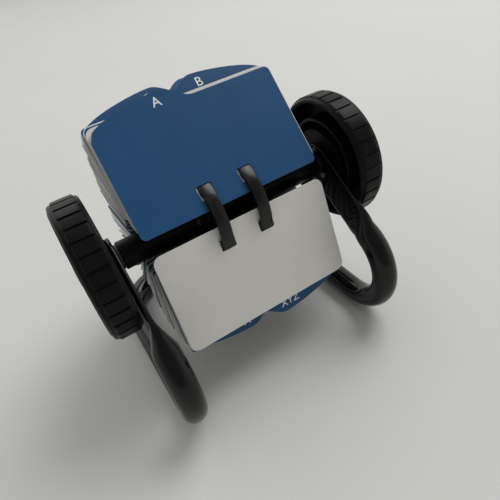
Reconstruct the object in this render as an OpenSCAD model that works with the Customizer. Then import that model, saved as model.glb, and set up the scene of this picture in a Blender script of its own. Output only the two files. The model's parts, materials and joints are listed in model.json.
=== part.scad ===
// Rotary card file: a bent tube stand carries an axle with a knob at each end.
// Two T-shaped rails on the axle hold a fan of slotted cards and lettered guides.
// Millimetres, +X along the axle, +Y to the rear, +Z up, desk at z = 0.

/* [Stand] */
// Height of the axle above the desk
axle_h = 90; // [88:1:112]
// Outside diameter of the stand's tube
tube_d = 14.2; // [11:0.1:17]
// Wall of the stand's tube
tube_wall = 1.5; // [1:0.1:2]
// From the middle of the stand to the centre line of each side loop
loop_x = 64; // [58:0.5:80]
// Centre line radius of the bend at the front of each side loop
bend_r = 28.6; // [22:0.2:34]
// How far the front bend's centre lies ahead of the axle
bend_y = 29.5; // [26:0.5:40]
// From the axle back to the rear of the crossbar
rear_reach = 79; // [79:0.5:110]
// Centre line radius of the two rear corners
corner_r = 30; // [20:0.5:40]
// How far the flattened end of the tube runs on past the knob's edge
flat_past = 0.6; // [0.4:0.1:3]

/* [Axle and core] */
// Diameter of the axle
axle_d = 6; // [5:0.1:8]
// Outside diameter of the core tube on the axle
core_d = 15.2; // [12:0.1:18]
// Outside diameter of the bush where it passes through the stand
bush_d = 9; // [8:0.1:11]
// Thickness of the bush's flange
bush_flange_t = 1.2; // [0.8:0.1:2]
// Diameter of the bush's flange
bush_flange_d = 13.2; // [11:0.1:14]
// Diameter of the cross pins through the core
pin_d = 2; // [1.5:0.1:2.5]

/* [Rails] */
// Outside radius of the rails
rail_r = 25; // [24:0.1:28]
// Distance between the middles of the two rails
rail_pitch = 23.6; // [20:0.2:30]
// Width of a rail's rim
rim_w = 6.7; // [5:0.1:7.4]
// Thickness of a rail's rim and web
rail_t = 1.8; // [1.4:0.1:2]
// Outside diameter of a rail's hub
hub_d = 21; // [20:0.1:22]
// Length of a rail's hub
hub_l = 8; // [6:0.5:10]

/* [Cards] */
// Width of a card
card_w = 101.6; // [88:0.2:110]
// Height of a card
card_h = 57.15; // [48:0.05:60]
// Thickness of a card or guide
card_t = 0.28; // [0.2:0.01:0.3]
// Corner radius of a blank card
card_corner = 4.5; // [2:0.1:8]
// Corner radius of a guide
guide_corner = 2.8; // [1:0.1:5]
// Height of a guide's tab above the card
tab_h = 7.8; // [6:0.1:10]
// Offset of the tab's peak from the middle
tab_peak_x = 10.4; // [6:0.1:16]
// Where the steep side of the tab meets the card, on the other side of the middle
tab_foot_x = 6; // [2:0.1:12]
// From a card's bottom edge to the top of its slots
slot_top = 13.3; // [12:0.1:14]
// Width of a slot
slot_w = 8.8; // [8:0.1:11]
// Height of the narrow throat below a slot
throat_h = 5.5; // [4:0.1:6]
// Width of the throat
throat_w = 4.2; // [3:0.1:5]
// Gap between the top of a slot and the rail
slot_gap = 0.3; // [0.2:0.05:0.4]

/* [Fan] */
// Place of guide A round the rail, in degrees up from the rear
first_place = 110; // [105:0.5:112]
// Extra angle between guide A and the card behind it
first_gap = 3.5; // [1:0.5:5]
// Place of the front card round the rail
last_place = -161; // [-170:0.5:-158]
// Lean of guide A away from the radius
first_lean = 62; // [40:1:63]
// Lean of the front card the other way
last_lean = 52.5; // [40:0.5:60]
// Share of the lean that grows evenly along the fan
even_share = 0.6; // [0.5:0.05:0.8]

/* [Knobs] */
// Radius of a knob
knob_r = 37.4; // [32:0.1:40]
// Width of a knob
knob_w = 15.5; // [14:0.1:20]
// Gap between a knob and the stand
knob_gap = 1; // [0.6:0.1:2]
// Thickness of a knob's rim
rim_t = 3.5; // [3:0.1:5]
// Number of grips round a knob
grips = 32; // [24:1:40]
// Width of the groove between two grips
groove_w = 1; // [0.6:0.1:1.6]
// Depth of the grooves
groove_d = 0.8; // [0.4:0.1:1.2]
// Width of the plain band at a knob's outer edge
band_w = 2.9; // [2:0.1:5]
// Width of the shoulder at a knob's inner edge
shoulder_w = 2; // [1:0.1:3]
// Radius of the skirt inside a knob
skirt_r = 25.2; // [23:0.1:28]
// Wall of the skirt and thickness of a knob's web
skirt_t = 1.7; // [1.2:0.1:2.2]
// Depth from a knob's inner face to its web
web_z = 10; // [9:0.1:11]
// How far a knob's cover stands proud
cover_lift = 0.6; // [0.3:0.1:1]
// Radius of the dome on the cover
dome_r = 16.5; // [10:0.5:20]
// Rise of the dome
dome_h = 1.4; // [0.6:0.1:2]

/* [Clutch] */
// Radius of the clutch drum
drum_r = 19; // [17:0.1:20]
// Wall of the clutch drum
drum_t = 1.2; // [1:0.1:1.6]
// Length of the clutch drum
drum_l = 8.4; // [8:0.1:8.8]
// Radius of a clutch ball
ball_r = 2.5; // [2:0.1:2.6]
// Length of a clutch spring
spring_l = 3.2; // [2.4:0.1:3.4]

/* [Fits] */
// Radial clearance between the axle and its bushes
run_fit = 0.05; // [0.03:0.01:0.09]
// Gap between parts that turn past each other
run_gap = 0.3; // [0.25:0.05:0.5]

/* [Hidden] */
$fn = 64;
LETTERS = ["a", "b", "c", "d", "e", "f", "g", "h", "i", "j", "k", "l", "m",
           "n", "o", "p", "q", "r", "s", "t", "u", "v", "w", "xyz"];
GROUPS = ["a_d", "e_h", "i_l", "m_p", "q_t", "u_xyz"];

// stand
tube_r = tube_d / 2;
bend_z = tube_r + bend_r - axle_h;      // front bend's centre, from the axle
bend_far = norm([bend_y, bend_z]);
leg_slope = atan2(-bend_z, bend_y) - asin(bend_r / bend_far);
leg_l = sqrt(bend_far * bend_far - bend_r * bend_r);
plate_t = 2 * tube_wall;
plate_w = PI * tube_r;                  // a tube keeps its girth when flattened
flat_l = knob_r + flat_past;            // then it swells to round, up to the bend
front_reach = bend_y + bend_r + tube_r;
axle_y = (front_reach - rear_reach) / 2; // the origin is under the middle
leg_z = tube_r;                          // lower legs' centre line height
rear_y = axle_y + rear_reach - tube_r;   // crossbar's centre line

// along the axle
axle_r = axle_d / 2;
core_r = core_d / 2;
plate_in = loop_x - plate_t / 2;
plate_out = loop_x + plate_t / 2;
bush_in = plate_in - bush_flange_t;
core_half = bush_in - run_gap;
knob_in = plate_out + knob_gap;
web_pad = 0.8;                           // how much thicker the web is than the skirt
web_out = web_z + skirt_t + web_pad;     // outer face of a knob's web
boss_r = 6.5;                            // boss round the axle on a knob's web
boss_h = 1.5;
axle_half = knob_in + web_out;
screw_d = 3;
screw_l = 8;
head_d = 8.4;
head_h = 1.1;
washer_d = 11;
washer_t = 0.5;
pin_x = rail_pitch / 2 + rail_t / 2 + hub_l - 2 * pin_d;

// cards
slot_r = rail_r + slot_gap;              // the top of every slot lies here
blanks_per_guide = 2;
step = blanks_per_guide + 1;
last_card = step * len(LETTERS);
fan_start = first_place - first_gap;
fan_step = (fan_start - last_place) / (last_card - 1);
fan_mid = (first_place + last_place) / 2;
fan_half = (first_place - last_place) / 2;
slot_corner = 1;

function place(i) = i == 0 ? first_place : fan_start - (i - 1) * fan_step;
function bow(s) = even_share * s + (1 - even_share) * s * s * s;
function lean(i) = let (s = (place(i) - fan_mid) / fan_half)
    (s > 0 ? first_lean : last_lean) * bow(s);

// clutch
ball_path = drum_r - drum_t - run_gap - ball_r;
cam_gap = 1.7;                           // between the cam and each end of the drum
cam_in = plate_out + drum_t + cam_gap;
cam_l = drum_l - 2 * cam_gap;
cam_mid = cam_in + cam_l / 2;
rivet_path = (bush_flange_d / 2 + plate_w / 2) / 2;
rivet_d = 2.4;
rivet_lip = 0.5;
window_gap = 0.1;                        // round a ball in the cam's window
spring_inset = 0.4;
spring_share = 0.44;                     // spring radius as a share of the ball's

// ---- shared shapes ----

module at_axle() {
    translate([0, axle_y, axle_h]) children();
}

// turns +Z to +X, for what is turned about the axle
module along_axle(x = 0) {
    translate([x, 0, 0]) rotate([0, 90, 0]) children();
}

module ring(outer, inner, length, x) {
    along_axle(x) linear_extrude(length) difference() {
        circle(outer);
        circle(inner);
    }
}

// points round one corner, from angle a on, about the centre c
function corner(c, r, a, n = 5) =
    [for (k = [0:n]) c + r * [cos(a + 90 * k / n), sin(a + 90 * k / n)]];

// an upright box outline with round corners
function round_box(x0, x1, y0, y1, r) = concat(
    corner([x1 - r, y0 + r], r, 270), corner([x1 - r, y1 - r], r, 0),
    corner([x0 + r, y1 - r], r, 90), corner([x0 + r, y0 + r], r, 180));

// ---- stand ----

module rod(r, length) {
    cylinder(r = r, h = length);
}

// a straight length of the stand's tube, open right through
module tube_run(length) {
    linear_extrude(length) difference() {
        circle(tube_r);
        circle(tube_r - tube_wall);
    }
}

// an arc of the stand's tube, from +X round towards +Y
module tube_bend(bend, angle) {
    rotate_extrude(angle = angle) translate([bend, 0]) difference() {
        circle(tube_r);
        circle(tube_r - tube_wall);
    }
}

module side_loop() {
    translate([loop_x, axle_y, axle_h]) {
        // front bend, from the end of the upper leg
        translate([0, -bend_y, bend_z]) rotate([90, 0, 90]) rotate(90 + leg_slope)
            tube_bend(bend_r, 180 - leg_slope);
    }
    // lower leg
    translate([loop_x, axle_y - bend_y, leg_z]) rotate([-90, 0, 0])
        tube_run(rear_y - corner_r - axle_y + bend_y);
    // rear corner
    translate([loop_x - corner_r, rear_y - corner_r, leg_z]) tube_bend(corner_r, 90);
}

// one upper leg: its flattened end, and its taper into the round tube
module upper_leg() {
    skin = 0.01;
    plug_l = 1;                         // how far it runs on into the bend's mouth
    translate([loop_x, axle_y, axle_h]) rotate([90 + leg_slope, 0, 0]) {
        translate([-plate_t / 2, -plate_w / 2, 0]) cube([plate_t, plate_w, flat_l]);
        translate([-plate_t / 2, 0, 0]) rotate([0, 90, 0]) rod(plate_w / 2, plate_t);
        hull() {
            translate([-plate_t / 2, -plate_w / 2, flat_l]) cube([plate_t, plate_w, skin]);
            translate([0, 0, leg_l]) cylinder(r = tube_r - 0.1, h = plug_l, $fn = 32);
        }
    }
}

module both_sides() {
    children();
    mirror([1, 0, 0]) children();
}

module rivet_places() {
    for (a = [leg_slope + 180, leg_slope + 60, leg_slope - 60])
        rotate([a, 0, 0]) translate([0, rivet_path, 0]) children();
}

module frame_tube() {
    crossbar = loop_x - corner_r;
    color("#111214") union() {
        both_sides() side_loop();
        translate([-crossbar, rear_y, leg_z]) rotate([0, 90, 0]) tube_run(2 * crossbar);
        difference() {
            both_sides() upper_leg();
            at_axle() along_axle(-knob_in) rod(bush_d / 2, 2 * knob_in);
            at_axle() rivet_places() along_axle(plate_in - 1) rod(rivet_d / 2, plate_t + 2);
        }
    }
}

module bush() {
    at_axle() {
        ring(bush_d / 2, axle_r + run_fit, plate_t, plate_in);
        ring(bush_flange_d / 2, axle_r + run_fit, bush_flange_t, bush_in);
    }
}

module left_bush() {
    color("#d8d4c8") mirror([1, 0, 0]) bush();
}

module right_bush() {
    color("#d8d4c8") bush();
}

// ---- axle and core ----

module pin_shape() {
    for (side = [-1, 1]) translate([side * pin_x, 0, -hub_d / 2]) rod(pin_d / 2, hub_d);
}

module screw_shanks() {
    for (side = [0, 1]) mirror([side, 0, 0])
        along_axle(axle_half - screw_l) rod(screw_d / 2, screw_l + washer_t);
}

module axle() {
    color("#a9acb0") at_axle() difference() {
        along_axle(-axle_half) rod(axle_r, 2 * axle_half);
        pin_shape();
        screw_shanks();
    }
}

module core_tube() {
    color("#17181a") at_axle() difference() {
        ring(core_r, axle_r, 2 * core_half, -core_half);
        pin_shape();
    }
}

module core_pins() {
    color("#8f9296") at_axle() pin_shape();
}

module rail() {
    at_axle() difference() {
        along_axle(rail_pitch / 2) rotate_extrude() polygon([
            [core_r, -rail_t / 2], [rail_r - rail_t, -rail_t / 2], [rail_r - rail_t, -rim_w / 2],
            [rail_r, -rim_w / 2], [rail_r, rim_w / 2], [rail_r - rail_t, rim_w / 2],
            [rail_r - rail_t, rail_t / 2], [hub_d / 2, rail_t / 2],
            [hub_d / 2, rail_t / 2 + hub_l], [core_r, rail_t / 2 + hub_l]]);
        pin_shape();
    }
}

module left_rail() {
    color("#17181a") mirror([1, 0, 0]) rail();
}

module right_rail() {
    color("#17181a") rail();
}

// ---- knobs ----

module knob() {
    inside = knob_r - rim_t;
    base = knob_r - groove_d;
    chamfer = 0.6;
    at_axle() along_axle(knob_in) {
        // rim, web, hub and skirt
        rotate_extrude() polygon([
            [axle_r, web_z - boss_h], [boss_r, web_z - boss_h], [boss_r, web_z],
            [skirt_r - skirt_t, web_z],
            [skirt_r - skirt_t, 0], [skirt_r, 0], [skirt_r, web_z], [inside, web_z],
            [inside, 0], [base - shoulder_w, 0], [base, shoulder_w], [base, knob_w - band_w],
            [knob_r, knob_w - band_w], [knob_r, knob_w - chamfer], [knob_r - chamfer, knob_w],
            [inside, knob_w], [inside, web_out], [axle_r, web_out]]);
        // grips
        translate([0, 0, shoulder_w]) linear_extrude(knob_w - band_w - shoulder_w)
            difference() {
                circle(knob_r);
                circle(base);
                for (k = [1:grips]) rotate(360 * k / grips)
                    translate([base - 1, -groove_w / 2]) square([groove_d + 2, groove_w]);
            }
    }
}

module left_knob() {
    color("#1f2124") mirror([1, 0, 0]) knob();
}

module right_knob() {
    color("#1f2124") knob();
}

// disc cover with a shallow dome, seated on the knob's web
module knob_cover() {
    cover_fit = 0.2;
    cover_t = 1;
    foot_in = 3;
    foot_out = 1;
    bevel = 0.4;
    edge = knob_r - rim_t - cover_fit;
    face = knob_w + cover_lift;
    back = knob_w - cover_t;
    ball = (dome_r * dome_r + dome_h * dome_h) / (2 * dome_h);
    rise = [for (k = [0:6]) let (r = dome_r * (1 - k / 6))
        [r, face + sqrt(ball * ball - r * r) - ball + dome_h]];
    at_axle() along_axle(knob_in) rotate_extrude() polygon(concat(
        [[0, back], [edge - foot_in, back], [edge - foot_in, web_out],
         [edge - foot_out, web_out], [edge - foot_out, back],
         [edge, back], [edge, face - bevel], [edge - bevel, face]], rise));
}

module left_knob_cover() {
    color("#1b1d1f") mirror([1, 0, 0]) knob_cover();
}

module right_knob_cover() {
    color("#1b1d1f") knob_cover();
}

module knob_screw() {
    cross_l = 4;
    cross_w = 0.8;
    cross_h = 0.6;
    at_axle() along_axle(axle_half) {
        translate([0, 0, -screw_l]) rod(screw_d / 2, screw_l + washer_t);
        difference() {
            translate([0, 0, washer_t]) rod(head_d / 2, head_h);
            for (a = [0, 90]) rotate(a)
                translate([-cross_l / 2, -cross_w / 2, washer_t + head_h - cross_h])
                    cube([cross_l, cross_w, 1]);
        }
    }
}

module left_knob_screw() {
    color("#9da0a4") mirror([1, 0, 0]) knob_screw();
}

module right_knob_screw() {
    color("#9da0a4") knob_screw();
}

module washer() {
    at_axle() ring(washer_d / 2, screw_d / 2, washer_t, axle_half);
}

module left_washer() {
    color("#b4b7bb") mirror([1, 0, 0]) washer();
}

module right_washer() {
    color("#b4b7bb") washer();
}

// ---- clutch inside the right knob ----

module clutch_drum() {
    color("#8d9094") at_axle() difference() {
        along_axle(plate_out) rotate_extrude() polygon([
            [bush_flange_d / 2, 0], [drum_r, 0], [drum_r, drum_l], [drum_r - drum_t, drum_l],
            [drum_r - drum_t, drum_t], [bush_flange_d / 2, drum_t]]);
        rivet_places() along_axle(plate_out - 1) rod(rivet_d / 2, drum_t + 2);
    }
}

module clutch_rivets() {
    head = 0.7;
    color("#b4b7bb") at_axle() rivet_places() {
        along_axle(plate_in) rod(rivet_d / 2, plate_t + drum_t);
        along_axle(plate_in - head) rod(rivet_d / 2 + rivet_lip, head);
        along_axle(plate_out + drum_t) rod(rivet_d / 2 + rivet_lip, head);
    }
}

module clutch_cam() {
    color("#c9c4b4") at_axle() along_axle(cam_in) linear_extrude(cam_l) difference() {
        circle(drum_r - drum_t - 2 * run_gap);
        circle(axle_r);
        for (a = [0, 120, 240]) rotate(a)
            translate([ball_path - ball_r - window_gap, -ball_r - 2 * window_gap])
                square([ball_r * 4, 2 * ball_r + spring_l + 4 * window_gap]);
    }
}

module clutch_balls() {
    color("#d0d3d6") at_axle() along_axle(cam_mid) for (a = [0, 120, 240])
        rotate(a) translate([ball_path, 0, 0]) sphere(ball_r);
}

module clutch_springs() {
    color("#b4b7bb") at_axle() along_axle(cam_mid) for (a = [0, 120, 240])
        rotate(a) translate([ball_path - spring_inset, ball_r + window_gap, 0]) rotate([-90, 0, 0])
            rod(ball_r * spring_share, spring_l);
}

// ---- cards ----

// cuts the two slots and their throats from a card
module slots() {
    for (side = [-1, 1]) translate([side * rail_pitch / 2, 0]) {
        polygon(round_box(-slot_w / 2, slot_w / 2, throat_h, slot_top, slot_corner));
        translate([-throat_w / 2, -1]) square([throat_w, throat_h + 2]);
    }
}

module blank_outline() {
    difference() {
        polygon(round_box(-card_w / 2, card_w / 2, 0, card_h, card_corner));
        slots();
    }
}

// tab's steep side, then its long slope to the corner, going from +X to -X
function tab_edge() = let (n = 12, foot = tab_foot_x, peak = -tab_peak_x, end = -card_w / 2) concat(
    [for (k = [0:n]) [foot + (peak - foot) * k / n, card_h + tab_h * (1 - cos(180 * k / n)) / 2]],
    [for (k = [1:n - 1]) let (s = k / n) [peak + (end - peak) * s,
        card_h + tab_h * (1 - pow(s, 1.6)) - guide_corner * pow(s, 8)]]);

module guide_outline(flip) {
    r = guide_corner;
    x = card_w / 2;
    mirror([flip ? 1 : 0, 0]) difference() {
        polygon(concat(corner([x - r, r], r, 270), corner([x - r, card_h - r], r, 0), tab_edge(),
            [[-x, card_h - 2 * r]], corner([-x + r, r], r, 180)));
        slots();
    }
}

// stands the card outline in its place on the rails
module place_card(i) {
    at_axle() translate([0, slot_r * cos(place(i)), slot_r * sin(place(i))])
        rotate([place(i) - lean(i), 0, 0]) translate([0, -slot_top, -card_t / 2])
            linear_extrude(card_t) children();
}

module guide(k) {
    color("#2b4a70") place_card(step * k) guide_outline(k % 2 == 1);
}

// the blanks behind four guides, up to the front card
module blank_cards(g) {
    color("#e9e6df") for (k = [4 * g:4 * g + 3], j = [1:blanks_per_guide])
        place_card(step * k + j) blank_outline();
}

module front_blank_card() {
    color("#efece6") place_card(last_card) blank_outline();
}

frame_tube();
left_bush();
right_bush();
clutch_drum();
clutch_rivets();
axle();
core_tube();
core_pins();
left_rail();
right_rail();
left_knob();
right_knob();
left_knob_cover();
right_knob_cover();
left_knob_screw();
right_knob_screw();
left_washer();
right_washer();
clutch_cam();
clutch_balls();
clutch_springs();
front_blank_card();
for (k = [0:len(LETTERS) - 1])
    guide(k);
for (g = [0:len(GROUPS) - 1])
    blank_cards(g);
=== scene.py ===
"""Looks of the rotary card file: a detailed mesh and a procedural finish for every piece.

Sizes are in millimetres, as in the CAD source, and reach Blender in metres through MM.
"""
import json
import math
import random

import bmesh
import bpy
from mathutils import Matrix, Vector


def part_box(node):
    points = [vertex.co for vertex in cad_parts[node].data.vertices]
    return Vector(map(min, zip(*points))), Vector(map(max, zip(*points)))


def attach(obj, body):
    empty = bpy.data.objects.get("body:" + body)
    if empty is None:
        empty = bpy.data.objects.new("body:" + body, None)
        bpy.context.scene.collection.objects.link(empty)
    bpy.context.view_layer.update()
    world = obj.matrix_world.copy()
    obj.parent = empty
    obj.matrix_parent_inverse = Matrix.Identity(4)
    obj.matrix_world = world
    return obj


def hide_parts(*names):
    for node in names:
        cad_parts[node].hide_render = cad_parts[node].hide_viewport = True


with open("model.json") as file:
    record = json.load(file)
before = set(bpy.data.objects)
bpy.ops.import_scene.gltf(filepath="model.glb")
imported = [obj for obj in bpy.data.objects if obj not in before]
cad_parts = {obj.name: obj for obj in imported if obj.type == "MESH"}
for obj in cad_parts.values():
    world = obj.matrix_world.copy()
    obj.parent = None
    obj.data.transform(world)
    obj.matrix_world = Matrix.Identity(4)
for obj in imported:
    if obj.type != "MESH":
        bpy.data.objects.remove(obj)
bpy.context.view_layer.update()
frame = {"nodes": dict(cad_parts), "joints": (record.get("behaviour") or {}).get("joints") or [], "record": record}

MM = 0.001
RNG = random.Random(7)
SPIN = next(j for j in frame["joints"] if j["name"] == "wheel_spin")
AXLE = Vector(SPIN["pos_m"]) / MM               # the wheel's centre
LETTERS = list("ABCDEFGHIJKLMNOPQRSTUVW") + ["XYZ"]
GROUPS = ["a_d", "e_h", "i_l", "m_p", "q_t", "u_xyz"]
PER_GROUP = 4                                   # guides whose blanks share one object

# stand
LOOP_X = 64.0
TUBE_R = 7.1
PLATE_T = 3.0
PLATE_W = math.pi * TUBE_R
BEND_R = 28.6
BEND_Y = 29.5
BEND_Z = TUBE_R + BEND_R - AXLE.z
CORNER_R = 30.0
REAR_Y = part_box("frame_tube")[1][1] / MM - TUBE_R
FLAT_L = 38.0                                   # flattened length, from the axle
HUB = Vector((LOOP_X, AXLE.y, AXLE.z))          # where the right leg's flattened end holds the axle
BEND_FAR = math.hypot(BEND_Y, BEND_Z)           # from the axle to the front bend's centre
LEG_SLOPE = math.atan2(-BEND_Z, BEND_Y) - math.asin(BEND_R / BEND_FAR)
LEG_L = math.sqrt(BEND_FAR * BEND_FAR - BEND_R * BEND_R)

# wheel
KNOB_R = (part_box("left_knob")[1][2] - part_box("left_knob")[0][2]) / MM / 2
KNOB_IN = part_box("right_knob")[0][0] / MM
KNOB_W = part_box("right_knob")[1][0] / MM - KNOB_IN
RAIL_R = (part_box("left_rail")[1][2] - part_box("left_rail")[0][2]) / MM / 2
RAIL_PITCH = 23.6
RAIL_T = 1.8
RIM_W = 6.7
HUB_R = 10.5
HUB_L = 8.0
AXLE_R = 3.0
CORE_R = 7.6
CORE_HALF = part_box("core_tube")[1][0] / MM

# knobs and covers; places along the axle run from a knob's inner face
RIM_T = 3.5
SKIRT_R = 25.2
SKIRT_T = 1.7
WEB_IN = 10.0
WEB_OUT = 12.5
BOSS_R = 6.5
BOSS_IN = 8.5
GRIPS = 32
GROOVE_BED = KNOB_R - 0.8
LAND_IN, LAND_OUT = 2.3, 12.9                   # the grips' two ends
COVER_FIT = 0.2
COVER_LIFT = 0.6
COVER_BACK = 14.5
DOME_R = 16.8
DOME_H = 1.38

# cards
CARD_W = 101.6
CARD_H = 57.15
CARD_T = 0.28
CARD_CORNER = 4.5
GUIDE_CORNER = 2.8
TAB_H = 7.8
TAB_PEAK_X = 10.4
TAB_FOOT_X = 6.0
SLOT_TOP = 13.3
SLOT_W = 8.8
SLOT_CORNER = 1.0
SLOT_GAP = 0.3
THROAT_H = 5.5
THROAT_W = 4.2
FIRST_PLACE, LAST_PLACE, FIRST_GAP = 110.0, -161.0, 3.5
FIRST_LEAN, LAST_LEAN, EVEN_SHARE = 62.0, 52.5, 0.6
BLANKS = 2
STEP = BLANKS + 1
LAST_CARD = STEP * len(LETTERS)
BOW = 0.12                                      # how far a used card bows or curls
SLIDE = 0.8                                     # how far it slides along the rails
SWING = 0.35                                    # degrees it hangs askew
CUTS_ACROSS = range(-44, 45, 11)                # where a card's mesh is cut so that it can bend
CUTS_UP = (16, 24, 33, 42, 51)

# mesh
JOIN_DIST = 1e-5
TUBE_SHARP, KNOB_SHARP, CARD_SHARP, RING_SHARP = 50, 28, 30, 35     # degrees
COVER_STEPS, CORE_STEPS, RAIL_STEPS = 144, 72, 180                  # round the axle


# ---- node materials ----

class Finish:
    """A material under construction: its node tree, its shader and its object coordinates."""

    def __init__(self, name, color, rough, **sockets):
        self.mat = bpy.data.materials.new(name)
        self.mat.use_nodes = True
        self.tree = self.mat.node_tree
        self.shader = self.tree.nodes["Principled BSDF"]
        self.shader.inputs["Base Color"].default_value = (*color, 1)
        self.shader.inputs["Roughness"].default_value = rough
        for key, value in sockets.items():
            self.shader.inputs[key.replace("_", " ")].default_value = value
        self.coords = self.node("ShaderNodeTexCoord").outputs["Object"]

    def node(self, kind, **inputs):
        made = self.tree.nodes.new(kind)
        for key, value in inputs.items():
            made.inputs[key.replace("_", " ")].default_value = value
        return made

    def link(self, source, target):
        self.tree.links.new(source, target)

    def noise(self, scale, detail=3.0, stretch=(1, 1, 1), rough=0.5):
        mapping = self.node("ShaderNodeMapping")
        mapping.inputs["Scale"].default_value = stretch
        self.link(self.coords, mapping.inputs["Vector"])
        made = self.node("ShaderNodeTexNoise", Scale=scale, Detail=detail, Roughness=rough)
        self.link(mapping.outputs["Vector"], made.inputs["Vector"])
        return made.outputs["Fac"]

    def ramp(self, source, stops):
        made = self.node("ShaderNodeValToRGB")
        ramp = made.color_ramp
        while len(ramp.elements) < len(stops):
            ramp.elements.new(0.5)
        for element, (place, color) in zip(ramp.elements, stops):
            element.position = place
            element.color = (*color, 1)
        self.link(source, made.inputs["Fac"])
        return made.outputs["Color"]

    def grey(self, source, low, high, start=0.3, end=0.7):
        return self.ramp(source, [(start, (low,) * 3), (end, (high,) * 3)])

    def color(self, source, low, high, start=0.3, end=0.7):
        self.link(self.ramp(source, [(start, low), (end, high)]), self.shader.inputs["Base Color"])

    def rough(self, source, low, high):
        self.link(self.grey(source, low, high), self.shader.inputs["Roughness"])

    def bump(self, source, strength, distance_mm):
        made = self.node("ShaderNodeBump", Strength=strength, Distance=distance_mm * MM)
        self.link(source, made.inputs["Height"])
        chained = self.shader.inputs["Normal"].links
        if chained:
            self.link(chained[0].from_socket, made.inputs["Normal"])
        self.link(made.outputs["Normal"], self.shader.inputs["Normal"])


def scaled(color, factor):
    """The same hue, darker or lighter."""
    return tuple(c * factor for c in color)


def gloss_enamel():
    """Thick black stove enamel with a slight orange peel."""
    f = Finish("stand_enamel", (0.0012, 0.0013, 0.0014), 0.14, Specular_IOR_Level=0.32)
    f.rough(f.noise(60, 4), 0.07, 0.16)
    f.bump(f.noise(420, 2), 0.06, 0.05)
    f.bump(f.noise(2600, 2), 0.05, 0.02)
    return f.mat


def moulded_plastic(name, tone, rough, grain, worn=0.0):
    """Black plastic with a fine moulded grain, and dust and rubbing that change its gloss."""
    base = (tone, tone * 1.04, tone * 1.12)
    f = Finish(name, base, rough, Specular_IOR_Level=0.11)
    f.color(f.noise(90, 5), scaled(base, 0.8), scaled(base, 1.35 + worn))
    f.rough(f.noise(35, 5), rough - 0.06, rough + 0.1)
    f.bump(f.noise(grain, 3), 0.16, 0.05)
    f.bump(f.noise(240, 2), 0.04, 0.08)
    return f.mat


def rail_plastic():
    """Semi-gloss black, rubbed paler and drier where the cards slide."""
    f = Finish("rail_plastic", (0.0022, 0.0023, 0.0026), 0.22, Specular_IOR_Level=0.34)
    rub = f.noise(260, 6, (1.0, 0.35, 0.35), 0.65)
    f.color(rub, (0.0018, 0.0019, 0.0021), (0.012, 0.012, 0.013), 0.45, 0.78)
    f.rough(rub, 0.14, 0.4)
    f.bump(f.noise(1500, 3), 0.12, 0.03)
    return f.mat


def guide_card():
    """Navy coated card: a satin film with faint mottling and hair scratches."""
    base = (0.019, 0.084, 0.208)
    f = Finish("guide_card", base, 0.42, Specular_IOR_Level=0.2)
    f.color(f.noise(16, 5, (1, 1, 1), 0.6), scaled(base, 0.93), scaled(base, 1.09))
    f.rough(f.noise(420, 5, (1.0, 0.06, 0.06), 0.7), 0.33, 0.52)
    f.bump(f.noise(1900, 3), 0.1, 0.02)
    f.bump(f.noise(700, 4, (0.08, 1, 1), 0.7), 0.05, 0.015)
    return f.mat


def blank_card():
    """Uncoated off-white index card with a fibrous surface."""
    base = (0.79, 0.775, 0.74)
    f = Finish("blank_card", base, 0.72, Sheen_Weight=0.08)
    f.color(f.noise(22, 6, (1, 1, 1), 0.65), scaled(base, 0.95), scaled(base, 1.03))
    f.rough(f.noise(300, 4), 0.64, 0.84)
    f.bump(f.noise(2300, 5, (1, 0.5, 0.5), 0.7), 0.18, 0.02)
    return f.mat


def white_ink():
    """Screen-printed ink, a little uneven."""
    f = Finish("white_ink", (0.95, 0.95, 0.95), 0.5)
    f.color(f.noise(900, 4), (0.86, 0.87, 0.88), (0.97, 0.97, 0.97))
    f.bump(f.noise(1900, 3), 0.1, 0.02)
    return f.mat


def metal(name, color, rough, stretch, scale=900.0):
    """Steel with a fine grain, drawn out along one direction where stretch is uneven."""
    f = Finish(name, color, rough, Metallic=1.0)
    grain = f.noise(scale, 4, stretch, 0.7)
    f.color(f.noise(60, 4), scaled(color, 0.82), scaled(color, 1.08))
    f.rough(grain, rough - 0.08, rough + 0.12)
    f.bump(grain, 0.12, 0.02)
    return f.mat


def nylon(name, color):
    """Moulded nylon, slightly translucent."""
    f = Finish(name, color, 0.5, Subsurface_Weight=0.1)
    f.color(f.noise(40, 4), scaled(color, 0.9), scaled(color, 1.05))
    f.bump(f.noise(1200, 3), 0.12, 0.03)
    return f.mat


def pale_floor():
    """Matte pale board under the object."""
    base = (0.63, 0.63, 0.615)
    f = Finish("pale_floor", base, 0.75, Specular_IOR_Level=0.2)
    f.color(f.noise(3, 4), scaled(base, 0.985), scaled(base, 1.015))
    f.bump(f.noise(900, 4), 0.05, 0.03)
    return f.mat


MATERIALS = {
    "stand_enamel": gloss_enamel(),
    "core_plastic": moulded_plastic("core_plastic", tone=0.0015, rough=0.3, grain=1300),
    "knob_plastic": moulded_plastic("knob_plastic", tone=0.0036, rough=0.34, grain=1500, worn=0.25),
    "cover_plastic": moulded_plastic("cover_plastic", tone=0.0045, rough=0.32, grain=1500),
    "rail_plastic": rail_plastic(),
    "guide_card": guide_card(),
    "blank_card": blank_card(),
    "axle_steel": metal("axle_steel", (0.42, 0.43, 0.44), rough=0.32, stretch=(0.03, 1, 1)),
    "pressed_steel": metal("pressed_steel", (0.022, 0.022, 0.024), rough=0.5, stretch=(1, 1, 1), scale=300),
    "plated_steel": metal("plated_steel", (0.52, 0.53, 0.54), rough=0.28, stretch=(1, 0.2, 0.2)),
    "ball_steel": metal("ball_steel", (0.6, 0.61, 0.63), rough=0.15, stretch=(1, 1, 1), scale=200),
    "bush_nylon": nylon("bush_nylon", (0.012, 0.012, 0.013)),
    "cam_nylon": nylon("cam_nylon", (0.48, 0.45, 0.37)),
}
INK = white_ink()


# ---- mesh helpers ----

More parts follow.
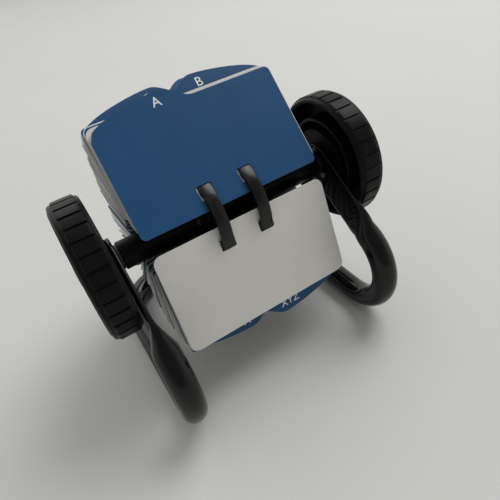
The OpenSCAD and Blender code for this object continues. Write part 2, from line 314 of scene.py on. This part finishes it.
def add_object(name, mesh, slot, body, replaced=(), sharp=RING_SHARP):
    """Links a mesh given in millimetres, finishes it, and lets it ride on its body.

    The letters have no slot of their own, and are printed in white ink.
    """
    mesh.transform(Matrix.Scale(MM, 4))
    mesh.validate()
    obj = bpy.data.objects.new(name, mesh)
    bpy.context.scene.collection.objects.link(obj)
    obj.data.materials.append(MATERIALS[slot] if slot else INK)
    obj.data.shade_smooth()
    if sharp is not None:
        obj.data.set_sharp_from_angle(angle=math.radians(sharp))
    if replaced:
        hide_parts(*replaced)
    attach(obj, body)


def mesh_of(name, verts, faces):
    """A mesh with doubled points joined and its faces turned outwards."""
    mesh = bpy.data.meshes.new(name)
    mesh.from_pydata([tuple(v) for v in verts], [], faces)
    bm = bmesh.new()
    bm.from_mesh(mesh)
    bmesh.ops.remove_doubles(bm, verts=bm.verts, dist=JOIN_DIST)
    bmesh.ops.recalc_face_normals(bm, faces=bm.faces)
    bm.to_mesh(mesh)
    bm.free()
    return mesh


def revolved(name, radius_at, rows, angles, mirrored=False):
    """A closed profile turned about the axle. radius_at(row, angle) gives each point's radius."""
    sign = -1 if mirrored else 1
    verts = []
    for angle in angles:
        for row in rows:
            r = radius_at(row, angle)
            verts.append((sign * row[1], AXLE.y + r * math.cos(angle), AXLE.z + r * math.sin(angle)))
    n, m = len(rows), len(angles)
    faces = [(a * n + i, a * n + (i + 1) % n, ((a + 1) % m) * n + (i + 1) % n, ((a + 1) % m) * n + i)
             for a in range(m) for i in range(n)]
    return mesh_of(name, verts, faces)


def even_angles(count):
    return [2 * math.pi * k / count for k in range(count)]


def plain_radius(row, _angle):
    return row[0]


def smoothstep(x):
    x = min(1.0, max(0.0, x))
    return x * x * (3 - 2 * x)


# ---- stand ----

X_AXIS = Vector((1, 0, 0))
Y_AXIS = Vector((0, 1, 0))
Z_AXIS = Vector((0, 0, 1))
RING_POINTS = 40
SQUARENESS = 3.2
END_STEPS, LEG_STEPS, BEND_STEPS, SIDE_STEPS, CORNER_STEPS, REAR_STEPS = 8, 26, 48, 10, 24, 6


def section(center, side, up, half_t, half_w, flat):
    """One ring of the tube: round at flat 0, a flattened tube at flat 1."""
    power = 2 / (2 + SQUARENESS * flat)
    ring = []
    for k in range(RING_POINTS):
        a = 2 * math.pi * k / RING_POINTS
        c, s = math.cos(a), math.sin(a)
        x = half_t * math.copysign(abs(c) ** power, c)
        y = half_w * math.copysign(abs(s) ** power, s)
        ring.append(center + side * x + up * y)
    return ring


def round_section(center, side, up):
    return section(center, side, up, TUBE_R, TUBE_R, 0)


def leg_rings():
    """Rings from the rounded end at the axle down the flat, then swelling to the round tube."""
    down = Vector((0, -math.cos(LEG_SLOPE), -math.sin(LEG_SLOPE)))
    across = Vector((0, math.sin(LEG_SLOPE), -math.cos(LEG_SLOPE)))
    round_r = PLATE_W / 2
    least_w, rounding = 0.4, 1.3
    rings = []
    for k in range(END_STEPS + 1):
        s = -round_r * math.cos(math.pi / 2 * k / END_STEPS)
        half_w = max(least_w, math.sqrt(max(0.0, round_r * round_r - s * s)))
        rings.append(section(HUB + down * s, X_AXIS, across, PLATE_T / 2, half_w, 1))
    for k in range(1, LEG_STEPS + 1):
        s = LEG_L * k / LEG_STEPS
        swell = smoothstep((s - FLAT_L) / (LEG_L - FLAT_L))
        half_t = PLATE_T / 2 + (TUBE_R - PLATE_T / 2) * swell
        half_w = round_r + (TUBE_R - round_r) * swell
        flat = 1 - smoothstep(swell * rounding)
        rings.append(section(HUB + down * s, X_AXIS, across, half_t, half_w, flat))
    return rings


def bend_rings(center):
    """Rings round the front bend, down to the lower leg."""
    start = math.pi / 2 + LEG_SLOPE
    rings = []
    for k in range(1, BEND_STEPS + 1):
        a = start + (1.5 * math.pi - start) * k / BEND_STEPS
        out = Vector((0, math.cos(a), math.sin(a)))
        rings.append(round_section(center + out * BEND_R, X_AXIS, -out))
    return rings


def base_rings(front_y):
    """Rings back along the lower leg, round the rear corner and to the middle of the crossbar."""
    corner_x = LOOP_X - CORNER_R
    corner_y = REAR_Y - CORNER_R
    rings = []
    for k in range(1, SIDE_STEPS + 1):
        y = front_y + (corner_y - front_y) * k / SIDE_STEPS
        rings.append(round_section(Vector((LOOP_X, y, TUBE_R)), X_AXIS, Z_AXIS))
    for k in range(1, CORNER_STEPS + 1):
        a = math.pi / 2 * k / CORNER_STEPS
        out = Vector((math.cos(a), math.sin(a), 0))
        spot = Vector((corner_x, corner_y, TUBE_R)) + out * CORNER_R
        rings.append(round_section(spot, out, Z_AXIS))
    for k in range(1, REAR_STEPS + 1):
        spot = Vector((corner_x * (1 - k / REAR_STEPS), REAR_Y, TUBE_R))
        rings.append(round_section(spot, Y_AXIS, Z_AXIS))
    return rings


def build_stand():
    """The whole bent tube as one sweep: the right half, then its mirror image."""
    bend_center = HUB + Vector((0, -BEND_Y, BEND_Z))
    right = leg_rings() + bend_rings(bend_center) + base_rings(bend_center.y)
    left = [[Vector((-p.x, p.y, p.z)) for p in ring] for ring in reversed(right[:-1])]
    rings = right + left
    n = len(rings[0])
    verts = [p for ring in rings for p in ring]
    faces = [(i * n + k, i * n + (k + 1) % n, (i + 1) * n + (k + 1) % n, (i + 1) * n + k)
             for i in range(len(rings) - 1) for k in range(n)]
    faces += [tuple(range(n)), tuple((len(rings) - 1) * n + k for k in range(n))]
    mesh = mesh_of("stand_tube", verts, faces)
    add_object("stand_tube", mesh, "stand_enamel", "stand", ["frame_tube"], TUBE_SHARP)


# ---- knobs ----

def knob_angles():
    """Columns crowded round each groove, spread over each land."""
    half = [0.3, 0.45, 0.62, 0.8, 1.05, 1.5, 2.2, 3.1]
    offsets = [-o for o in reversed(half)] + [0] + half
    return [2 * math.pi * g / GRIPS + o / KNOB_R for g in range(GRIPS) for o in offsets]


def knob_radius(row, angle):
    """Cuts the grooves between the lands, with round corners at the lands' outer end."""
    r, x = row[0], row[1] - KNOB_IN
    groove_half, wall, corner, flare = 0.42, 0.32, 1.2, 1.0
    if r <= GROOVE_BED or x > LAND_OUT + 1:
        return r
    pitch = 2 * math.pi / GRIPS
    off = abs((angle + pitch / 2) % pitch - pitch / 2) * KNOB_R
    reach = max(0.0, x - (LAND_OUT - corner)) / corner
    half = groove_half + flare * (1 - math.sqrt(max(0.0, 1 - min(1, reach) ** 2)))
    cut = 1 - smoothstep((off - half) / wall)
    return r - (r - GROOVE_BED) * cut


def knob_inside_rows(inside):
    """Boss, web, skirt and the rim's inner wall, seen from the stand."""
    ease = 0.3
    skirt_in = SKIRT_R - SKIRT_T
    return [(AXLE_R, BOSS_IN), (BOSS_R - 0.2, BOSS_IN), (BOSS_R, BOSS_IN + 0.2), (BOSS_R, WEB_IN - ease),
            (BOSS_R + ease, WEB_IN), (skirt_in - ease, WEB_IN), (skirt_in, WEB_IN - ease),
            (skirt_in, ease), (skirt_in + 0.2, 0.05), (SKIRT_R - ease, 0.0), (SKIRT_R, 0.25),
            (SKIRT_R, WEB_IN - ease), (SKIRT_R + ease, WEB_IN), (inside - ease, WEB_IN),
            (inside, WEB_IN - ease), (inside, 0.4), (inside + ease, 0.05), (inside + 1.6, 0.0)]


def knob_rows():
    """The knob's closed profile as (radius, place along the axle)."""
    inside = KNOB_R - RIM_T
    band = KNOB_R - 0.95
    round_r, round_l, steps = 1.7, 1.9, 6
    rows = knob_inside_rows(inside)
    # shoulder at the inner end of the grips
    rows += [(KNOB_R - 1.7, 0.15), (KNOB_R - 1.5, 0.4), (KNOB_R - 1.15, LAND_IN / 2),
             (KNOB_R - 0.8, LAND_IN - 0.6), (KNOB_R - 0.4, LAND_IN - 0.3),
             (KNOB_R - 0.1, LAND_IN - 0.1), (KNOB_R, LAND_IN + 0.3)]
    rows += [(KNOB_R, LAND_IN + 0.3 + (LAND_OUT - 1.6 - LAND_IN) * k / 5) for k in range(1, 6)]
    # the grips' rounded outer end
    rows += [(KNOB_R, LAND_OUT - 0.9), (KNOB_R - 0.04, LAND_OUT - 0.5), (KNOB_R - 0.2, LAND_OUT - 0.2),
             (KNOB_R - 0.55, LAND_OUT + 0.05), (KNOB_R - 0.75, LAND_OUT + 0.25),
             (KNOB_R - 0.85, LAND_OUT + 0.5)]
    # plain outer band, rounded over to the cover's seat
    rows += [(band, KNOB_W - 2.0)]
    for k in range(1, steps + 1):
        a = math.pi / 2 * k / steps
        rows.append((band - round_r * (1 - math.cos(a)), KNOB_W - round_l + round_l * math.sin(a)))
    rows += [(inside + 0.3, KNOB_W), (inside, KNOB_W - 0.3), (inside, WEB_OUT + 0.3),
             (inside - 0.3, WEB_OUT), (AXLE_R, WEB_OUT)]
    return [(r, KNOB_IN + x) for r, x in rows]


def cover_rows():
    """The cover's closed profile: a disc on a foot ring, eased at its edge and domed in the middle."""
    edge = KNOB_R - RIM_T - COVER_FIT
    face = KNOB_W + COVER_LIFT
    foot_in, foot_out, steps = 3, 1, 12
    middle, flat_rows = 0.01, (20.0, 17.2)
    rise, fullness = 1.15, 0.9
    rows = [(middle, COVER_BACK), (edge - foot_in, COVER_BACK), (edge - foot_in, WEB_OUT),
            (edge - foot_out, WEB_OUT), (edge - foot_out, COVER_BACK), (edge, COVER_BACK),
            (edge, face - 0.5), (edge - 0.12, face - 0.2), (edge - 0.45, face - 0.03), (edge - 1, face)]
    rows += [(r, face) for r in flat_rows]
    for k in range(1, steps):
        rows.append((DOME_R * (1 - k / steps), face + DOME_H * smoothstep(rise * k / steps) ** fullness))
    rows.append((middle, face + DOME_H))
    return [(r, KNOB_IN + x) for r, x in rows]


def build_knobs():
    for side, mirrored in (("left", True), ("right", False)):
        mesh = revolved(side + "_knob_body", knob_radius, knob_rows(), knob_angles(), mirrored)
        add_object(side + "_knob_body", mesh, "knob_plastic", "wheel", [side + "_knob"], KNOB_SHARP)
        mesh = revolved(side + "_cover_disc", plain_radius, cover_rows(), even_angles(COVER_STEPS), mirrored)
        add_object(side + "_cover_disc", mesh, "cover_plastic", "wheel", [side + "_knob_cover"], KNOB_SHARP)


# ---- core and rails ----

def build_core():
    ease = 0.3
    rows = [(CORE_R - ease, -CORE_HALF), (CORE_R, -CORE_HALF + ease), (CORE_R, CORE_HALF - ease),
            (CORE_R - ease, CORE_HALF), (AXLE_R, CORE_HALF), (AXLE_R, -CORE_HALF)]
    mesh = revolved("core_sleeve", plain_radius, rows, even_angles(CORE_STEPS))
    add_object("core_sleeve", mesh, "core_plastic", "wheel", ["core_tube"])


def rail_rows():
    """The right rail's closed profile: web, T-shaped rim with eased edges, and hub."""
    web = RAIL_T / 2
    rim = RAIL_R - RAIL_T
    half = RIM_W / 2
    rows = [(CORE_R, -web), (rim - 0.5, -web), (rim, -web - 0.45), (rim, -half + 0.25),
            (rim + 0.25, -half), (RAIL_R - 0.45, -half), (RAIL_R - 0.12, -half + 0.12),
            (RAIL_R, -half + 0.45), (RAIL_R, half - 0.45), (RAIL_R - 0.12, half - 0.12),
            (RAIL_R - 0.45, half), (rim + 0.25, half), (rim, half - 0.25), (rim, web + 0.45),
            (rim - 0.5, web), (HUB_R + 0.7, web), (HUB_R, web + 0.7), (HUB_R, web + HUB_L - 0.4),
            (HUB_R - 0.4, web + HUB_L), (CORE_R, web + HUB_L)]
    return [(r, RAIL_PITCH / 2 + x) for r, x in rows]


def build_rails():
    for name, mirrored in (("left", True), ("right", False)):
        mesh = revolved(name + "_rail_ring", plain_radius, rail_rows(), even_angles(RAIL_STEPS), mirrored)
        add_object(name + "_rail_ring", mesh, "rail_plastic", "wheel", [name + "_rail"])


# ---- cards ----

def place(i):
    """Degrees round the rail from the rear, up over the top, where card i hangs."""
    fan_start = FIRST_PLACE - FIRST_GAP
    return FIRST_PLACE if i == 0 else fan_start - (i - 1) * (fan_start - LAST_PLACE) / (LAST_CARD - 1)


def lean(i):
    """Degrees by which card i leans away from the radius."""
    s = (place(i) - (FIRST_PLACE + LAST_PLACE) / 2) / ((FIRST_PLACE - LAST_PLACE) / 2)
    return (FIRST_LEAN if s > 0 else LAST_LEAN) * (EVEN_SHARE * s + (1 - EVEN_SHARE) * s ** 3)


def card_matrix(i):
    """Card coordinates (across, up the card, out of its front) to the object's frame."""
    at, turn = math.radians(place(i)), math.radians(place(i) - lean(i))
    r = RAIL_R + SLOT_GAP
    hang = Vector((0, AXLE.y + r * math.cos(at), AXLE.z + r * math.sin(at)))
    to_slot = Matrix.Translation((0, -SLOT_TOP, 0))
    return Matrix.Translation(hang) @ Matrix.Rotation(turn, 4, "X") @ to_slot


def arc(cx, cy, r, start):
    """Points of a quarter circle about (cx, cy), from the start angle on."""
    n = 6
    turns = [math.radians(start + 90 * k / n) for k in range(n + 1)]
    return [(cx + r * math.cos(a), cy + r * math.sin(a)) for a in turns]


def slot_notch(cx):
    """The keyhole notch of one slot, walked from its left lip to its right one."""
    h, w, r = THROAT_W / 2, SLOT_W / 2, SLOT_CORNER
    points = [(cx - h, 0), (cx - h, THROAT_H), (cx - w + r, THROAT_H)]
    x = cx - w + r
    turns = (0.5, 1.05, 1.57)
    points += [(x - r * math.sin(a), THROAT_H + r - r * math.cos(a)) for a in turns]
    points += [(x - r * math.cos(a), SLOT_TOP - r + r * math.sin(a)) for a in (0.0, *turns)]
    return points + [(2 * cx - x, y) for x, y in reversed(points)]


def tab_edge():
    """The guide's top edge from its steep side to the far corner."""
    foot, peak, end = TAB_FOOT_X, -TAB_PEAK_X, -CARD_W / 2
    rise, fall = 14, 16
    droop, rounding = 1.6, 8
    points = []
    for k in range(rise + 1):
        s = k / rise
        points.append((foot + (peak - foot) * s, CARD_H + TAB_H * (1 - math.cos(math.pi * s)) / 2))
    for k in range(1, fall):
        s = k / fall
        height = CARD_H + TAB_H * (1 - s ** droop) - GUIDE_CORNER * s ** rounding
        points.append((peak + (end - peak) * s, height))
    return points


def outline(is_guide):
    """A card's outline with its two slots open at the bottom edge."""
    r = GUIDE_CORNER if is_guide else CARD_CORNER
    x = CARD_W / 2
    points = arc(-x + r, r, r, 180) + slot_notch(-RAIL_PITCH / 2) + slot_notch(RAIL_PITCH / 2)
    points += arc(x - r, r, r, 270) + arc(x - r, CARD_H - r, r, 0)
    if is_guide:
        return points + tab_edge() + [(-x, CARD_H - 2 * r)]
    return points + arc(-x + r, CARD_H - r, r, 90)


def card_verts_faces(is_guide, flip, bow, curl):
    """One card in card coordinates: cut into a grid so that it can bow, then given its thickness."""
    bm = bmesh.new()
    sign = -1 if flip else 1
    points = [(sign * x, y) for x, y in outline(is_guide)]
    bm.faces.new([bm.verts.new((x, y, 0)) for x, y in points])
    cuts = [((x, 0, 0), (1, 0, 0)) for x in CUTS_ACROSS]
    cuts += [((0, y, 0), (0, 1, 0)) for y in CUTS_UP]
    for spot, normal in cuts:
        geometry = bm.verts[:] + bm.edges[:] + bm.faces[:]
        bmesh.ops.bisect_plane(bm, geom=geometry, plane_co=spot, plane_no=normal)
    bmesh.ops.recalc_face_normals(bm, faces=bm.faces)
    made = bmesh.ops.extrude_face_region(bm, geom=bm.faces[:])
    for v in made["geom"]:
        if isinstance(v, bmesh.types.BMVert):
            v.co.z += CARD_T
    for v in bm.verts:
        away = max(0.0, v.co.y - SLOT_TOP) / (CARD_H - SLOT_TOP)
        across = v.co.x / (CARD_W / 2)
        v.co.z += -CARD_T / 2 + bow * across ** 2 * away + curl * away * away
    bmesh.ops.recalc_face_normals(bm, faces=bm.faces)
    bm.verts.index_update()
    result = [v.co.copy() for v in bm.verts], [tuple(v.index for v in f.verts) for f in bm.faces]
    bm.free()
    return result


def card_parts(i, is_guide, flip=False, loose=1.0):
    """Verts and faces of card i in the object's frame, with the small shifts of a used file."""
    bow = RNG.uniform(-BOW, BOW) * loose
    curl = RNG.uniform(-BOW, BOW) * loose
    verts, faces = card_verts_faces(is_guide, flip, bow, curl)
    shift = Matrix.Translation((RNG.uniform(-SLIDE, SLIDE) * loose, 0, 0))
    swing = Matrix.Rotation(math.radians(RNG.uniform(-SWING, SWING) * loose), 4, "Z")
    up, down = Matrix.Translation((0, SLOT_TOP, 0)), Matrix.Translation((0, -SLOT_TOP, 0))
    at = card_matrix(i) @ up @ swing @ down @ shift
    return [at @ v for v in verts], faces


def letter_mesh(word):
    """Flat raised lettering, centred on its own origin."""
    one_size, long_size = 7.2, 6.4
    ink_t = 0.012
    curve = bpy.data.curves.new("ink", "FONT")
    curve.body = word
    curve.align_x = "CENTER"
    curve.align_y = "CENTER"
    curve.size = one_size if len(word) == 1 else long_size
    curve.extrude = ink_t
    curve.offset = ink_t
    text = bpy.data.objects.new("ink", curve)
    bpy.context.scene.collection.objects.link(text)
    made = text.evaluated_get(bpy.context.evaluated_depsgraph_get())
    mesh = bpy.data.meshes.new_from_object(made)
    bpy.data.objects.remove(text)
    mesh.materials.clear()
    return mesh


def build_letter(k, body):
    """The index letter on both faces of guide k, upright on the back when the tab points down."""
    letter_x, letter_up = 13.5, 2.2
    ink_gap = 0.02
    lift = CARD_T / 2 + ink_gap
    side = 1 if k % 2 else -1
    word = LETTERS[k]
    faces = (("front", Matrix.Identity(4), 1), ("back", Matrix.Rotation(math.pi, 4, "X"), -1))
    for name, turn, way in faces:
        mesh = letter_mesh(word)
        spot = Matrix.Translation((side * letter_x, CARD_H + letter_up, way * lift))
        mesh.transform(card_matrix(STEP * k) @ spot @ turn)
        add_object(f"letter_{word.lower()}_{name}", mesh, None, body, (), None)


def build_guides():
    for k, word in enumerate(LETTERS):
        node = "guide_" + word.lower()
        body = "guide_a_card" if k == 0 else "wheel"
        verts, faces = card_parts(STEP * k, True, k % 2 == 1, 0.0)
        mesh = mesh_of(node + "_card", verts, faces)
        add_object(node + "_card", mesh, "guide_card", body, [node], CARD_SHARP)
        build_letter(k, body)


def build_blanks():
    """One object for the blanks behind each four guides, and one for the front card."""
    for g, group in enumerate(GROUPS):
        verts, faces = [], []
        for k in range(PER_GROUP * g, PER_GROUP * (g + 1)):
            for j in range(1, BLANKS + 1):
                more, more_faces = card_parts(STEP * k + j, False)
                faces += [tuple(i + len(verts) for i in f) for f in more_faces]
                verts += more
        name = "blanks_" + group
        mesh = mesh_of(name, verts, faces)
        add_object(name, mesh, "blank_card", "wheel", ["blank_cards_" + group], CARD_SHARP)
    verts, faces = card_parts(LAST_CARD, False, loose=0.0)
    mesh = mesh_of("front_blank", verts, faces)
    add_object("front_blank", mesh, "blank_card", "wheel", ["front_blank_card"], CARD_SHARP)


def finish_cad_nodes():
    """Gives every CAD node its slot's finish."""
    for entry in frame["record"]["subparts"]:
        node = frame["nodes"][entry["node"]]
        node.data.materials.clear()
        node.data.materials.append(MATERIALS[entry["material_slot"]])


# ---- studio ----

def build_floor():
    half = 6.0
    just_below = -0.0002
    corners = [(-half, -half, 0), (half, -half, 0), (half, half, 0), (-half, half, 0)]
    mesh = bpy.data.meshes.new("floor")
    mesh.from_pydata(corners, [], [(0, 1, 2, 3)])
    floor = bpy.data.objects.new("floor", mesh)
    bpy.context.scene.collection.objects.link(floor)
    mesh.materials.append(pale_floor())
    floor.location.z = just_below


def area_light(name, spot, size, watts):
    """A round lamp aimed at the object."""
    aim = (0, 0, 0.06)
    data = bpy.data.lights.new(name, "AREA")
    data.shape = "DISK"
    data.size = size
    data.energy = watts
    lamp = bpy.data.objects.new(name, data)
    lamp.location = spot
    lamp.rotation_euler = (Vector(aim) - Vector(spot)).to_track_quat("-Z", "Y").to_euler()
    bpy.context.scene.collection.objects.link(lamp)


def build_world():
    """A pale room, darkest on the side where the photographer stands."""
    dark_side = (-0.25, -0.7, 0.67)
    world = bpy.data.worlds.new("studio")
    world.use_nodes = True
    tree = world.node_tree
    coords = tree.nodes.new("ShaderNodeTexCoord")
    toward = tree.nodes.new("ShaderNodeVectorMath")
    toward.operation = "DOT_PRODUCT"
    toward.inputs[1].default_value = dark_side
    ramp = tree.nodes.new("ShaderNodeValToRGB")
    pale, dark = ramp.color_ramp.elements
    pale.position = 0.1
    pale.color = (1.0, 1.0, 0.965, 1)
    dark.position = 0.8
    dark.color = (0.31, 0.31, 0.3, 1)
    background = tree.nodes["Background"]
    background.inputs["Strength"].default_value = 0.86
    tree.links.new(coords.outputs["Generated"], toward.inputs[0])
    tree.links.new(toward.outputs["Value"], ramp.inputs["Fac"])
    tree.links.new(ramp.outputs["Color"], background.inputs["Color"])
    bpy.context.scene.world = world


def build_studio():
    build_floor()
    build_world()
    area_light("window", spot=(1.25, 0.25, 2.0), size=1.5, watts=26)
    area_light("room", spot=(-0.3, 1.7, 1.5), size=1.2, watts=4.5)
    bpy.context.scene.view_settings.view_transform = "Standard"


def build_camera():
    """The photographer's place: above the front left, rolled a little."""
    from_axle = Vector((-75.2, -188.8, 136.5))
    data = bpy.data.cameras.new("camera")
    data.sensor_width = 36
    data.lens = 31.9
    data.clip_start = 0.01
    camera = bpy.data.objects.new("camera", data)
    right = Vector((0.8391, -0.5213, -0.1553))
    up = Vector((0.4441, 0.4917, 0.749))
    back = right.cross(up).normalized()
    up = back.cross(right).normalized()
    right.normalize()
    turn = Matrix((right, up, back)).transposed().to_4x4()
    camera.matrix_world = Matrix.Translation((AXLE + from_axle) * MM) @ turn
    bpy.context.scene.collection.objects.link(camera)
    bpy.context.scene.camera = camera


finish_cad_nodes()
build_stand()
build_knobs()
build_core()
build_rails()
build_guides()
build_blanks()
build_studio()
build_camera()
